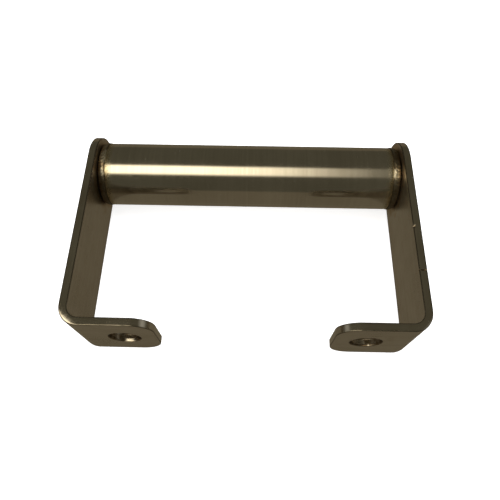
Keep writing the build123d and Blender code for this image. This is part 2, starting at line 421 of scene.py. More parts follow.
def turned_material(name, light, dark, base_rough, plane_axis="X"):
    """Turned or cold-formed stainless: faint rings about the roller axis, small handling marks."""
    m, g, bsdf = material(name)
    obj = g.add("ShaderNodeTexCoord").outputs["Object"]
    sep = g.add("ShaderNodeSeparateXYZ")
    g.put(sep, 0, obj)
    dy = g.math("SUBTRACT", sep.outputs[1], AXIS_Y * MM)
    dz = g.math("SUBTRACT", sep.outputs[2], AXIS_Z * MM)
    rad = g.math("SQRT", g.math("ADD", g.math("MULTIPLY", dy, dy), g.math("MULTIPLY", dz, dz)))
    comb = g.add("ShaderNodeCombineXYZ")
    g.put(comb, 0, g.math("MULTIPLY", rad, 4200.0))
    g.put(comb, 1, g.math("MULTIPLY", sep.outputs[0], 4200.0))
    rings = g.noise(comb.outputs[0], 1.0, 3.0, 0.6)
    cloud = g.noise(obj, 170.0, 3.0, 0.6)
    marks = g.remap(g.noise(obj, 1300.0, 2.0, 0.5), 0.66, 0.76)
    col = g.ramp(g.math("ADD", g.math("MULTIPLY", cloud, 0.6), g.math("MULTIPLY", rings, 0.4)), [(0.35, dark), (0.65, light)])
    col = g.mix(g.math("MULTIPLY", marks, 0.5), col, (dark[0] * 0.55, dark[1] * 0.52, dark[2] * 0.48, 1))
    g.put(bsdf, "Base Color", col)
    bsdf.inputs["Metallic"].default_value = 1.0
    r = g.math("ADD", g.math("MULTIPLY", rings, 0.12), base_rough - 0.06)
    r = g.math("ADD", r, g.math("MULTIPLY", marks, 0.15), clamp=True)
    g.put(bsdf, "Roughness", r)
    bumps(g, bsdf, [(rings, 0.3, 0.00002), (marks, 0.3, 0.00002)])
    return m


MAT_FASTENER = turned_material("fastener_stainless", (0.66, 0.645, 0.61), (0.55, 0.53, 0.49), 0.22)
MAT_TURNED = turned_material("turned_stainless", (0.62, 0.60, 0.56), (0.51, 0.49, 0.45), 0.26)


def plastic_material():
    m, g, bsdf = material("acetal_bush")
    obj = g.add("ShaderNodeTexCoord").outputs["Object"]
    cloud = g.noise(obj, 200.0, 3.0, 0.6)
    grain = g.noise(obj, 2600.0, 3.0, 0.6)
    col = g.ramp(cloud, [(0.35, (0.74, 0.725, 0.68)), (0.65, (0.83, 0.82, 0.785))])
    g.put(bsdf, "Base Color", col)
    g.put(bsdf, "Roughness", g.math("ADD", g.math("MULTIPLY", grain, 0.18), 0.36))
    bsdf.inputs["Specular IOR Level"].default_value = 0.45
    bumps(g, bsdf, [(grain, 0.25, 0.00003)])
    return m


MAT_PLASTIC = plastic_material()

# ---------------------------------------------------------------------------
# Mesh helper
# ---------------------------------------------------------------------------


def make_object(name, verts_mm, faces, mats, face_mats=None, loop_uv=None, uv_name="uv", smooth=True):
    mesh = bpy.data.meshes.new(name)
    mesh.from_pydata([tuple(c * MM for c in v) for v in verts_mm], [], faces)
    for m in mats:
        mesh.materials.append(m)
    if face_mats is not None:
        mesh.polygons.foreach_set("material_index", face_mats)
    if loop_uv is not None:
        layer = mesh.uv_layers.new(name=uv_name)
        flat = np.array([c for face in loop_uv for uv in face for c in uv], np.float32)
        layer.data.foreach_set("uv", flat)
    mesh.polygons.foreach_set("use_smooth", [smooth] * len(mesh.polygons))
    mesh.validate()
    mesh.update()
    obj = bpy.data.objects.new(name, mesh)
    bpy.context.scene.collection.objects.link(obj)
    return obj


def weighted(obj):
    mod = obj.modifiers.new("weighted_normals", "WEIGHTED_NORMAL")
    mod.weight = 60
    mod.keep_sharp = True


# ---------------------------------------------------------------------------
# Brackets: the flat blank is meshed in (s, z), then wrapped round the bend.
# s runs along the mid-line of the bar from the foot's end to the arm's tip.
# ---------------------------------------------------------------------------
S_FOOT = FOOT_LEN - R_OUT
S_BEND = S_FOOT + R_MID * math.pi / 2
ARM_RUN = (AXIS_Y + BAR_W / 2) - (FOOT_Y + R_OUT)
S_END = S_BEND + ARM_RUN
TIP_R = BAR_W / 2
S_TIP = S_END - TIP_R
EDGE_R = 0.4


def path(s):
    """Mid-line point, tangent and outward normal in XY for the right-hand bracket."""
    if s <= S_FOOT:
        return (HALF - FOOT_LEN + s, FOOT_Y + BAR_T / 2), (0.0, -1.0)
    if s <= S_BEND:
        a = (s - S_FOOT) / R_MID
        cx, cy = HALF - R_OUT, FOOT_Y + R_OUT
        return (cx + R_MID * math.sin(a), cy - R_MID * math.cos(a)), (math.sin(a), -math.cos(a))
    return (HALF - BAR_T / 2, FOOT_Y + R_OUT + (s - S_BEND)), (1.0, 0.0)


def bend_share(s):
    """0 on the straights, 1 in the middle of the bend."""
    a = (s - (S_FOOT - 2.0)) / (S_BEND - S_FOOT + 4.0)
    return math.sin(math.pi * a) ** 2 if 0 < a < 1 else 0.0


def span(a, b, step):
    n = max(1, int(math.ceil(abs(b - a) / step)))
    return [a + (b - a) * i / n for i in range(n)]


def long_edge_samples(extra):
    """s positions along a long edge, finer in the bend and at each extra mark."""
    out = []
    out += span(CORNER, S_FOOT - 1, 1.1)
    out += span(S_FOOT - 1, S_BEND + 1, 0.45)
    out += span(S_BEND + 1, S_TIP, 1.1)
    for c in extra:
        out = [s for s in out if abs(s - c) > 1.3]
        out += [c + d for d in np.linspace(-1.2, 1.2, 25)]
    return sorted(out)


def build_bracket(name, side, marks_top, lips, seed):
    """side +1 is the right bracket. marks_top: (s, half width, depth, from_n, to_n) cuts across the upper edge.
    lips: (angle, half angle, amount, from_n, to_n) where the wall of the foot hole leans out."""
    rnd = random.Random(seed)
    off = Vector((rnd.uniform(0, 50), rnd.uniform(0, 50), rnd.uniform(0, 50)))
    outline = []  # (s, z, ns, nz)
    for s in long_edge_samples([]):
        outline.append((s, 0.0, 0.0, -1.0))
    for i in range(73):
        a = math.radians(-90 + 2.5 * i)
        outline.append((S_TIP + TIP_R * math.cos(a), TIP_R + TIP_R * math.sin(a), math.cos(a), math.sin(a)))
    for s in reversed(long_edge_samples([m[0] for m in marks_top])):
        outline.append((s, BAR_W, 0.0, 1.0))
    for i in range(1, 25):
        a = math.radians(90 + 90 * i / 24)
        outline.append((CORNER + CORNER * math.cos(a), BAR_W - CORNER + CORNER * math.sin(a), math.cos(a), math.sin(a)))
    for z in span(BAR_W - CORNER, CORNER, 1.1)[1:]:
        outline.append((0.0, z, -1.0, 0.0))
    for i in range(0, 24):
        a = math.radians(180 + 90 * i / 24)
        outline.append((CORNER + CORNER * math.cos(a), CORNER + CORNER * math.sin(a), math.cos(a), math.sin(a)))
    # drop repeats
    clean = []
    for p in outline:
        if not clean or math.hypot(p[0] - clean[-1][0], p[1] - clean[-1][1]) > 0.02:
            clean.append(p)
    if math.hypot(clean[0][0] - clean[-1][0], clean[0][1] - clean[-1][1]) < 0.02:
        clean.pop()
    outline = clean
    n_out = len(outline)
    arc = [0.0]
    for i in range(n_out):
        p, q = outline[i], outline[(i + 1) % n_out]
        arc.append(arc[-1] + math.hypot(q[0] - p[0], q[1] - p[1]))

    ht = BAR_T / 2
    # how strongly each stretch of edge was dressed
    radii = []
    for i, (s, z, ns, nz) in enumerate(outline):
        w = noise.noise(Vector((arc[i] * 0.05, seed * 3.1, 0.0)) + off)
        r = EDGE_R * (1.0 + 0.22 * w)
        r += 0.22 * bend_share(s)
        radii.append(r)

    K = 6
    profile = []  # (inset share of r, side of bar, height function) from outer skin to inner skin
    for k in range(K + 1):
        b = math.radians(90 * k / K)
        profile.append(("top", 1 - math.sin(b), 1 - math.cos(b)))
    for f in (0.5, 0.0, -0.5):
        profile.append(("side", 0.0, f))
    for k in range(K, -1, -1):
        b = math.radians(90 * k / K)
        profile.append(("bot", 1 - math.sin(b), 1 - math.cos(b)))

    verts, uvs = [], []

    def to_3d(s, z, n, normal_sz=None, depth=0.0):
        """Wrap a blank point; depth pushes it inwards along the outline normal."""
        if normal_sz is not None and depth:
            s -= normal_sz[0] * depth
            z -= normal_sz[1] * depth
        # the outside of the bend draws in a little across the width
        pull = bend_share(s) * max(0.0, n / ht * 0.5 + 0.5) ** 2 * 0.62
        zc = z - BAR_W / 2
        z = BAR_W / 2 + zc * (1 - pull / (BAR_W / 2))
        (px, py), (nx, ny) = path(s)
        # slow unevenness of the skins, always inwards
        q = Vector((s * 0.045, z * 0.06, 0.0)) + off
        wave = 0.035 * (0.5 + 0.5 * noise.noise(q)) + 0.012 * (0.5 + 0.5 * noise.noise(q * 4.3))
        n_eff = n - math.copysign(wave, n) * min(1.0, abs(n) / ht)
        x, y = px + nx * n_eff, py + ny * n_eff
        return (side * x, y, z)

    rings, cuts = [], []
    for kind, inset, h in profile:
        ring, cut = [], []
        for i, (s, z, ns, nz) in enumerate(outline):
            r = radii[i]
            d = inset * r
            if kind == "top":
                n = ht - r * h
            elif kind == "bot":
                n = -(ht - r * h)
            else:
                n = (ht - r) * 2 * h * 0.5
            rough = 0.05 * (0.5 + 0.5 * noise.noise(Vector((arc[i] * 0.35, n * 0.8, 3.0)) + off))
            rough += 0.022 * (0.5 + 0.5 * noise.noise(Vector((arc[i] * 1.9, n * 2.2, 9.0)) + off))
            d += rough * (1 - inset)
            gouge = 0.0
            if nz > 0.9:
                for ms, mw, md, n0, n1 in marks_top:
                    u = abs(s - ms) / mw
                    if u < 1 and n0 - 0.5 < n < n1 + 0.5:
                        lane = min(1.0, max(0.0, (n - n0 + 0.5) / 0.5), max(0.0, (n1 + 0.5 - n) / 0.5))
                        gouge += md * (1 - u * u) * lane
            d += gouge
            cut.append(gouge)
            ring.append(len(verts))
            verts.append(to_3d(s, z, n, (ns, nz), d))
            uvs.append((arc[i], n + 100.0))
        rings.append(ring)
        cuts.append(cut)

    faces, fmats, fuv = [], [], []

    def add(face, mat, uv):
        if side < 0:
            face, uv = face[::-1], uv[::-1]
        faces.append(face)
        fmats.append(mat)
        fuv.append([(a * MM, b * MM) for a, b in uv])

    for k in range(len(rings) - 1):
        a, b = rings[k], rings[k + 1]
        for i in range(n_out):
            j = (i + 1) % n_out
            ua, ub = uvs[a[i]], uvs[b[i]]
            uc, ud = (arc[i + 1], uvs[b[j]][1]), (arc[i + 1], uvs[a[j]][1])
            deep = (cuts[k][i] + cuts[k + 1][i] + cuts[k][j] + cuts[k + 1][j]) / 4
            add([a[i], b[i], b[j], a[j]], 2 if deep > 0.13 else 1, [ua, ub, uc, ud])

    # holes: foot bolt hole with a deburring chamfer, arm hole for the axle screw
    holes = []
    for hs, hr, ch, count in ((FOOT_HOLE_X - (HALF - FOOT_LEN), FOOT_HOLE_R, 0.30, 144), (S_TIP, ARM_HOLE_R, 0.25, 48)):
        # from the outer face: rolled rim, plain wall with torn patches, small rim on the inner face
        prof = [(ch, ht), (ch * 0.93, ht - 0.05), (ch * 0.62, ht - 0.15), (ch * 0.22, ht - 0.28), (0.0, ht - 0.46)]
        prof += [(0.0, n) for n in np.arange(ht - 0.7, -ht + 0.5, -0.24)]
        # the punched foot hole ends in a low burr, the drilled arm hole in a small rim
        inner = -0.24 if hr > 6 else 0.30
        prof += [(inner * 0.1, -ht + 0.40), (inner * 0.6, -ht + 0.16), (inner, -ht)]
        n_worn = 1
        hole_rings, hole_worn = [], []
        for d, n in prof:
            ring, worn = [], []
            for i in range(count):
                a = 2 * math.pi * i / count
                wob = 0.02 * noise.noise(Vector((math.cos(a) * 2, math.sin(a) * 2, n + seed)))
                tear = 0.022 * noise.noise(Vector((math.cos(a) * 11, math.sin(a) * 11, n * 1.3 + seed * 2)))
                rr = hr + d + abs(wob) + max(0.0, tear) * (1 if abs(n) < ht - 0.05 else 0)
                bare = 0.0
                if hr > 6:
                    for la, lw, amount, n0, n1 in lips:
                        u = abs((math.degrees(a) - la + 180) % 360 - 180) / lw
                        if u < 1:
                            f = min(1.0, max(0.0, (n - n0) / (n1 - n0)))
                            rr += amount * f * (1 - u ** 4) ** 2 * (1 - max(0.0, d) / ch)
                            if amount > 0 and d < ch * 0.5 and n0 - 0.2 < n < n1 + 0.3 and u < 0.85:
                                bare = 1.0
                ring.append(len(verts))
                verts.append(to_3d(hs + rr * math.cos(a), TIP_R + rr * math.sin(a), n))
                uvs.append((hr * a, n + 140.0))
                worn.append(bare)
            hole_rings.append(ring)
            hole_worn.append(worn)
        for k in range(len(hole_rings) - 1):
            a_, b_ = hole_rings[k], hole_rings[k + 1]
            for i in range(count):
                j = (i + 1) % count
                u0, u1 = hr * 2 * math.pi * i / count, hr * 2 * math.pi * (i + 1) / count
                va, vb = uvs[a_[i]][1], uvs[b_[i]][1]
                bare = hole_worn[k][i] + hole_worn[k + 1][i] + hole_worn[k][j] + hole_worn[k + 1][j] > 2.5
                add([a_[i], a_[j], b_[j], b_[i]], 3 if k < n_worn or bare else 2, [(u0, va), (u1, va), (u1, vb), (u0, vb)])
        holes.append((hs, (hr + ch, hr + inner), count, hole_rings[0], hole_rings[-1]))

    # skins
    def inside(s, z):
        d = min(z, BAR_W - z, s)
        if s > S_TIP:
            d = TIP_R - math.hypot(s - S_TIP, z - TIP_R)
        elif s < CORNER and z > BAR_W - CORNER:
            d = CORNER - math.hypot(s - CORNER, z - (BAR_W - CORNER))
        elif s < CORNER and z < CORNER:
            d = CORNER - math.hypot(s - CORNER, z - CORNER)
        for hs, hr, *_ in holes:
            d = min(d, math.hypot(s - hs, z - TIP_R) - max(hr))
        return d

    grid_s = span(1.6, S_FOOT - 1, 1.45) + span(S_FOOT - 1, S_BEND + 1, 0.62) + span(S_BEND + 1, S_END, 1.45)
    grid = []
    for s in grid_s:
        for k in range(27):
            z = 1.1 + (BAR_W - 2.2) * k / 26
            if inside(s, z) > EDGE_R + 0.75:
                grid.append((s, z))

    for top in (True, False):
        loops = [rings[0] if top else rings[-1]]
        pts2, idx, edges, rim_of = [], [], [], {}
        start = 0
        for i, v in enumerate(loops[0]):
            s, z, ns, nz = outline[i]
            pts2.append(Vector((s - ns * radii[i], z - nz * radii[i])))
            idx.append(v)
        edges += [(i, (i + 1) % n_out) for i in range(n_out)]
        for hs, hr, count, ra, rb in holes:
            start = len(pts2)
            rim = hr[0] if top else hr[1]
            for i, v in enumerate(ra if top else rb):
                a = 2 * math.pi * i / count
                rim_of[len(pts2)] = hs
                pts2.append(Vector((hs + rim * math.cos(a), TIP_R + rim * math.sin(a))))
                idx.append(v)
            edges += [(start + i, start + (i + 1) % count) for i in range(count)]
        # a close ring round each hole keeps the skin's shading flat up to the rim
        collars = []
        for hs, hr, count, ra, rb in holes:
            rim = (hr[0] if top else hr[1]) + 0.13
            for i in range(count):
                a = 2 * math.pi * (i + 0.5) / count
                collars.append((hs + rim * math.cos(a), TIP_R + rim * math.sin(a)))
        for s, z in collars + grid:
            pts2.append(Vector((s, z)))
            idx.append(len(verts))
            verts.append(to_3d(s, z, ht if top else -ht))
            uvs.append((s, z))
        ov, oe, of_, orig_v, _, _ = geometry.delaunay_2d_cdt(pts2, edges, [], 1, 1e-5)
        back = [idx[o[0]] for o in orig_v]
        two = [(ov[i][0], ov[i][1]) for i in range(len(ov))]
        for f in of_:
            owners = {rim_of.get(orig_v[i][0]) for i in f}
            if len(owners) == 1 and None not in owners:
                continue
            cx = sum(two[i][0] for i in f) / 3
            cz = sum(two[i][1] for i in f) / 3
            if any(math.hypot(cx - hs, cz - TIP_R) < hr[0 if top else 1] - 0.02 for hs, hr, *_ in holes):
                continue
            order = list(f)
            a, b, c = (two[i] for i in order)
            area = (b[0] - a[0]) * (c[1] - a[1]) - (c[0] - a[0]) * (b[1] - a[1])
            want_positive = not top
            if (area > 0) != want_positive:
                order = order[::-1]
            add([back[i] for i in order], 0, [two[i] for i in order])

    obj = make_object(name, verts, faces, [MAT_SKIN, MAT_EDGE, MAT_BORE, MAT_RIM], fmats, fuv, "bar")
    return obj


def fix_normals(obj):
    import bmesh

    bm = bmesh.new()
    bm.from_mesh(obj.data)
    bmesh.ops.recalc_face_normals(bm, faces=bm.faces)
    open_edges = sum(1 for e in bm.edges if not e.is_manifold)
    bm.to_mesh(obj.data)
    bm.free()
    print("mesh", obj.name, "faces", len(obj.data.polygons), "open edges", open_edges)


def s_at_y(y):
    return S_BEND + (y - (FOOT_Y + R_OUT))


right_marks = [
    (s_at_y(-26.9), 0.42, 0.46, -2.0, 1.2),
    (s_at_y(-3.8), 0.80, 0.62, -2.0, -1.3),
    (s_at_y(14.0), 0.8, 0.10, 0.6, 2.0),
]
left_marks = []
right_lips = [(249, 34, 0.115, -1.3, 0.6), (291, 6, 0.055, 1.2, 1.6), (270, 46, -0.45, -1.52, -1.98)]
left_lips = [(264, 28, 0.27, 0.3, 1.7), (308, 13, 0.10, -1.9, -1.5), (270, 46, -0.45, -1.52, -1.98)]
right_bar = build_bracket("right_bracket_bar", 1, right_marks, right_lips, 3)
left_bar = build_bracket("left_bracket_bar", -1, left_marks, left_lips, 11)
for o, node in ((right_bar, "right_bracket"), (left_bar, "left_bracket")):
    fix_normals(o)
    weighted(o)
    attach(o, "brackets")
    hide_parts(node)

# ---------------------------------------------------------------------------
# Roller tube: lathe mesh with softened ends and very slight unevenness
# ---------------------------------------------------------------------------


def lathe(name, profile, count, mats, uv_name, face_mat=None, radius_fn=None, uv_fn=None, axis=(AXIS_Y, AXIS_Z)):
    """Closed profile of (x, r) turned about the roller axis; the loop closes on itself."""
    verts, faces, fuv = [], [], []
    m = len(profile)
    for i in range(count):
        a = 2 * math.pi * i / count
        for k, (x, r) in enumerate(profile):
            if radius_fn:
                x, r = radius_fn(x, r, a, k)
            verts.append((x, axis[0] + r * math.cos(a), axis[1] + r * math.sin(a)))
    along = [0.0]
    for k in range(m):
        p, q = profile[k], profile[(k + 1) % m]
        along.append(along[-1] + math.hypot(q[0] - p[0], q[1] - p[1]))
    for i in range(count):
        j = (i + 1) % count
        for k in range(m):
            l = (k + 1) % m
            faces.append([i * m + k, j * m + k, j * m + l, i * m + l])
            a0, a1 = 2 * math.pi * i / count, 2 * math.pi * (i + 1) / count
            if uv_fn:
                fuv.append([uv_fn(k, a0), uv_fn(k, a1), uv_fn(k + 1, a1), uv_fn(k + 1, a0)])
            else:
                r = profile[k][1]
                fuv.append([
                    (along[k] * MM, a0 * r * MM),
                    (along[k] * MM, a1 * r * MM),
                    (along[k + 1] * MM, a1 * r * MM),
                    (along[k + 1] * MM, a0 * r * MM),
                ])
    obj = make_object(name, verts, faces, mats, None, fuv, uv_name)
    return obj


def tube_profile():
    r, e, ri = TUBE_R, TUBE_END, PLUG_R
    out = []
    c = 0.45
    # right end: inner edge, face, rounded outer corner
    for k in range(5):
        b = math.radians(90 * k / 4)
        out.append((e - c + c * math.sin(b), r - c + c * math.cos(b)))
    # down the end face and along the bore to the left end
    out += [(e, r - 1.2), (e, ri + 0.3), (e - 0.3, ri)]
    out += [(x, ri) for x in np.linspace(e - 8, -e + 8, 7)]
    out += [(-e + 0.3, ri), (-e, ri + 0.3), (-e, r - 1.2)]
    for k in range(4, -1, -1):
        b = math.radians(90 * k / 4)
        out.append((-e + c - c * math.sin(b), r - c + c * math.cos(b)))
    # outer skin back to the right end
    out += [(-e + c + d, r) for d in (0.25, 0.55, 0.85, 1.15)]
    out += [(x, r) for x in np.linspace(-e + c + 1.15, e - c - 1.15, 118)[1:-1]]
    out += [(e - c - d, r) for d in (1.15, 0.85, 0.55, 0.25)]
    return out


def tube_wobble(x, r, a, k):
    if r < TUBE_R - 0.01:
        return x, r
    q = Vector((x * 0.03, math.cos(a) * 0.9, math.sin(a) * 0.9))
    toe = TUBE_END - 0.55 - abs(x)
    if toe < 0.9:
        # shallow undercut beside the bead, deeper in some places than in others
        deep = 0.09 + 0.06 * noise.noise(Vector((math.cos(a) * 5, math.sin(a) * 5, x)))
        r -= deep * max(0.0, 1 - (toe / 0.9) ** 2) if toe > 0 else deep
    d = 0.020 * (0.5 + 0.5 * noise.noise(q)) + 0.006 * (0.5 + 0.5 * noise.noise(q * 5.0 + Vector((7, 1, 2))))
    for mx, ma, mr, md in ((-59.2, 128.5, 1.3, 0.10), (-64.1, 110.0, 0.7, 0.06), (41.0, 60.0, 1.0, 0.05), (12.0, 230.0, 1.4, 0.07), (-20.0, 310.0, 1.1, 0.06)):
        da = math.radians(ma) - a
        da = (da + math.pi) % (2 * math.pi) - math.pi
        dd = math.hypot(x - mx, da * r) / mr
        if dd < 1:
            d += md * (1 - dd * dd) ** 2
    return x, r - d


tube = lathe("roller_tube_skin", tube_profile(), 256, [MAT_TUBE], "tube", radius_fn=tube_wobble)
fix_normals(tube)
weighted(tube)
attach(tube, "roller")
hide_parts("roller_tube")

# ---------------------------------------------------------------------------
# Ring welds: overlapping crescents laid round the corner of tube end and plug
# ---------------------------------------------------------------------------


def build_bead(name, side, seed):
    count, steps = 720, 26
    x0, x1 = TUBE_END, PLUG_FACE
    r0, r1 = TUBE_R, PLUG_R + WELD_FACE
    # section: the arc that the CAD bead is turned from, then the faced end square to the axis
    chord = math.hypot(x1 - x0, r0 - r1)
    mx, mr = (x0 + x1) / 2, (r0 + r1) / 2
    nx, nr = (r0 - r1) / chord, (x1 - x0) / chord
    crown = max(0.2, (wd_hi[1] - wd_lo[1]) / 2 - 0.0)
    sag = BEAD_SAG
    rad = chord * chord / (8 * sag) + sag / 2
    cx, cr = mx - nx * (rad - sag), mr - nr * (rad - sag)
    a_start = math.atan2(r0 - cr, x0 - cx)
    a_end = math.atan2(r1 - cr, x1 - cx)
    cells = 46
    pitch = 2 * math.pi / cells
    rnd = random.Random(seed)
    starts = [rnd.uniform(-0.16, 0.16) for _ in range(cells)]
    tall = [rnd.uniform(0.65, 1.2) for _ in range(cells)]
    verts, faces, fuv = [], [], []
    ring = steps + 1 + 5
    for i in range(count):
        a = 2 * math.pi * i / count
        wob = noise.noise(Vector((math.cos(a) * 2.2, math.sin(a) * 2.2, seed)))
        wob2 = noise.noise(Vector((math.cos(a) * 7.0, math.sin(a) * 7.0, seed + 5)))
        toe = 0.30 + 0.24 * wob + 0.14 * wob2  # how far the bead laps over the tube
        for k in range(steps + 1):
            t = k / steps
            ang = a_start + (a_end - a_start) * t
            ux, ur = math.cos(ang), math.sin(ang)
            ex, er = cx + rad * ux, cr + rad * ur
            ex -= toe * (1 - t) ** 3
            lift = (0.07 * wob + 0.06 * wob2 - 0.05) * math.sin(math.pi * t)
            # crescent ripples, swept back towards the sides of the bead
            phase = (a + 0.15 * (2 * t - 1) ** 2) / pitch
            cell = int(math.floor(phase)) % cells
            u = min(max(phase - math.floor(phase) + starts[cell] * 0.4, 0.0), 1.0)
            fade = math.sin(math.pi * min(1.0, t * 1.02 + 0.02)) ** 0.7
            lift += (math.sin(math.pi * u) ** 0.7 - 0.75) * 0.15 * tall[cell] * fade
            lift += 0.035 * noise.noise(Vector((ex * 3.0, math.cos(a) * 38, math.sin(a) * 38 + seed))) * fade
            x = min(ex + ux * lift, PLUG_FACE + 0.10)
            r = min(er + ur * lift, crown)
            verts.append((side * x, AXIS_Y + r * math.cos(a), AXIS_Z + r * math.sin(a)))
        # closed back: along the plug rim and up the tube's end face, just inside the metal
        face = 0.03 * wob2
        for x, r in (
            (x1 - 0.02 + face, r1 - 0.45),
            (x1 - 0.03 + face, PLUG_R + 0.10),
            (x1 - 0.3, PLUG_R - 0.35),
            (x0 - 0.25, PLUG_R - 0.30),
            (x0 - toe - 0.02, r0 - 0.55),
        ):
            verts.append((side * x, AXIS_Y + r * math.cos(a), AXIS_Z + r * math.sin(a)))
    for i in range(count):
        j = (i + 1) % count
        for k in range(ring):
            l = (k + 1) % ring
            f = [i * ring + k, j * ring + k, j * ring + l, i * ring + l]
            a0, a1 = i / count, (i + 1) / count
            v0, v1 = min(k, steps) / steps, min(k + 1, steps) / steps
            faces.append(f if side > 0 else f[::-1])
            uv = [(a0, v0), (a1, v0), (a1, v1), (a0, v1)]
            fuv.append(uv if side > 0 else uv[::-1])
    return make_object(name, verts, faces, [MAT_WELD], None, fuv, "bead")


for nm, sd, node, seed in (("right_ring_weld", 1, "right_plug_weld", 2), ("left_ring_weld", -1, "left_plug_weld", 8)):
    o = build_bead(nm, sd, seed)
    fix_normals(o)
    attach(o, "roller")
    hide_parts(node)

# ---------------------------------------------------------------------------
# Button-head socket screws and washers
# ---------------------------------------------------------------------------


def build_screw(name, side):
    count = 96
    base = wa_hi[0]
    top = sc_hi[0]
    tip = sc_lo[0]
    rh = (sc_hi[1] - sc_lo[1]) / 2
    rs = 4.0
    af = 2.5  # half the socket's width across flats
    depth = 2.6

    def hex_r(a, scale=1.0):
        w = (a + math.pi / 6) % (math.pi / 3) - math.pi / 6
        return af * scale / math.cos(w)

    rings = []  # each ring: function a -> (x, r)
    # shank, from the tip; major diameter with a rolled thread
    rings.append(lambda a: (tip, 0.02))
    rings.append(lambda a: (tip, rs - 0.9))
    rings.append(lambda a: (tip + 0.8, rs - 0.05))
    pitch = 1.25
    x = tip + 0.8
    k = 0
    while x < base - 2.4:
        for f, dr in ((0.0, -0.62), (0.15, -0.62), (0.5, 0.0), (0.62, 0.0)):
            xx, rr = x + f * pitch, rs - 0.05 + dr
            rings.append(lambda a, xx=xx, rr=rr: (xx + pitch * (a / (2 * math.pi)) * 0.0, rr))
        x += pitch
        k += 1
    rings.append(lambda a: (base - 0.9, rs - 0.05))
    rings.append(lambda a: (base, rs + 0.1))
    rings.append(lambda a: (base, rh - 0.35))
    rings.append(lambda a: (base + 0.08, rh - 0.08))
    rings.append(lambda a: (base + 0.25, rh))
    # dome
    h = top - base
    x_a, r_a, x_b, r_b = base + 0.55, rh - 0.03, top - 0.05, 3.55
    for k in range(0, 19):
        b = math.radians(3 + 66 * k / 18)
        # ellipse through the rim and the crown
        rr = rh * math.cos(b) ** 0.86
        xx = base + 0.45 + (h - 0.5) * math.sin(b) / math.sin(math.radians(69))
        rings.append(lambda a, xx=xx, rr=rr: (xx, max(rr, 3.5)))
    rings.append(lambda a: (top, 3.38))
    rings.append(lambda a: (top, 3.16))
    rings.append(lambda a: (top - 0.02, max(hex_r(a) + 0.16, 2.75)))
    rings.append(lambda a: (top - 0.10, hex_r(a) + 0.08))
    rings.append(lambda a: (top - 0.26, hex_r(a)))
    rings.append(lambda a: (top - 1.2, hex_r(a, 0.998)))
    rings.append(lambda a: (top - depth, hex_r(a, 0.99)))
    rings.append(lambda a: (top - depth - 0.15, hex_r(a, 0.90)))
    rings.append(lambda a: (top - depth - 0.8, 0.9))
    rings.append(lambda a: (top - depth - 1.05, 0.02))
    verts, faces = [], []
    for fn in rings:
        for i in range(count):
            a = 2 * math.pi * i / count
            x, r = fn(a)
            verts.append((side * x, AXIS_Y + r * math.cos(a + 0.3), AXIS_Z + r * math.sin(a + 0.3)))
    for k in range(len(rings) - 1):
        for i in range(count):
            j = (i + 1) % count
            faces.append([k * count + i, k * count + j, (k + 1) * count + j, (k + 1) * count + i])
    faces.append(list(range(count)))
    last = (len(rings) - 1) * count
    faces.append([last + i for i in range(count)][::-1])
    return make_object(name, verts, faces, [MAT_FASTENER])


def build_washer(name, side):
    x0, x1 = wa_lo[0], wa_hi[0]
    ro = (wa_hi[1] - wa_lo[1]) / 2
    ri = ARM_HOLE_R
    prof = [(x0, ri + 0.1), (x0 + 0.1, ri), (x1 - 0.35, ri), (x1 - 0.12, ri + 0.1), (x1, ri + 0.35)]
    prof += [(x1, r) for r in np.linspace(ri + 0.8, ro - 0.9, 5)]
    prof += [(x1, ro - 0.45), (x1 - 0.06, ro - 0.22), (x1 - 0.2, ro - 0.06), (x1 - 0.4, ro)]
    prof += [(x0 + 0.18, ro), (x0 + 0.05, ro - 0.06), (x0, ro - 0.2)]
    prof += [(x0, r) for r in (ro - 1.0, ri + 1.0)]
    prof = [(side * x, r) for x, r in prof]
    return lathe(name, prof, 96, [MAT_FASTENER], "uv")


for tag, sd in (("right", 1), ("left", -1)):
    o = build_screw(f"{tag}_button_screw", sd)
    fix_normals(o)
    weighted(o)
    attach(o, "brackets")
    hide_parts(f"{tag}_axle_screw")
    o = build_washer(f"{tag}_flat_washer", sd)
    fix_normals(o)
    weighted(o)
    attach(o, "brackets")
    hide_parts(f"{tag}_screw_washer")

# the CAD nodes that stay: only their materials change
for node, mat in (
    ("axle_rod", MAT_TURNED),
    ("left_end_plug", MAT_TURNED),
    ("right_end_plug", MAT_TURNED),
    ("left_bush", MAT_PLASTIC),
    ("right_bush", MAT_PLASTIC),
    ("left_thrust_washer", MAT_PLASTIC),
    ("right_thrust_washer", MAT_PLASTIC),
):
    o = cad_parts[node]
    o.data.materials.clear()
    o.data.materials.append(mat)

# ---------------------------------------------------------------------------
# Stage: pale floor, pale backdrop, and the surroundings that the steel mirrors
# ---------------------------------------------------------------------------
scene = bpy.context.scene


def plane(name, z, size):
    mesh = bpy.data.meshes.new(name)
    s = size
    mesh.from_pydata([(-s, -s, z), (s, -s, z), (s, s, z), (-s, s, z)], [], [(0, 1, 2, 3)])
    o = bpy.data.objects.new(name, mesh)
    scene.collection.objects.link(o)
    return o


floor = plane("floor", -0.0003, 6.0)
m, g, bsdf = material("pale_floor")
bsdf.inputs["Base Color"].default_value = (0.93, 0.928, 0.925, 1)
bsdf.inputs["Roughness"].default_value = 0.9
bsdf.inputs["Specular IOR Level"].default_value = 0.1
bsdf.inputs["Emission Color"].default_value = (1.0, 1.0, 1.0, 1)
bsdf.inputs["Emission Strength"].default_value = 0.74
floor.data.materials.append(m)
floor.visible_glossy = False
floor.visible_diffuse = False
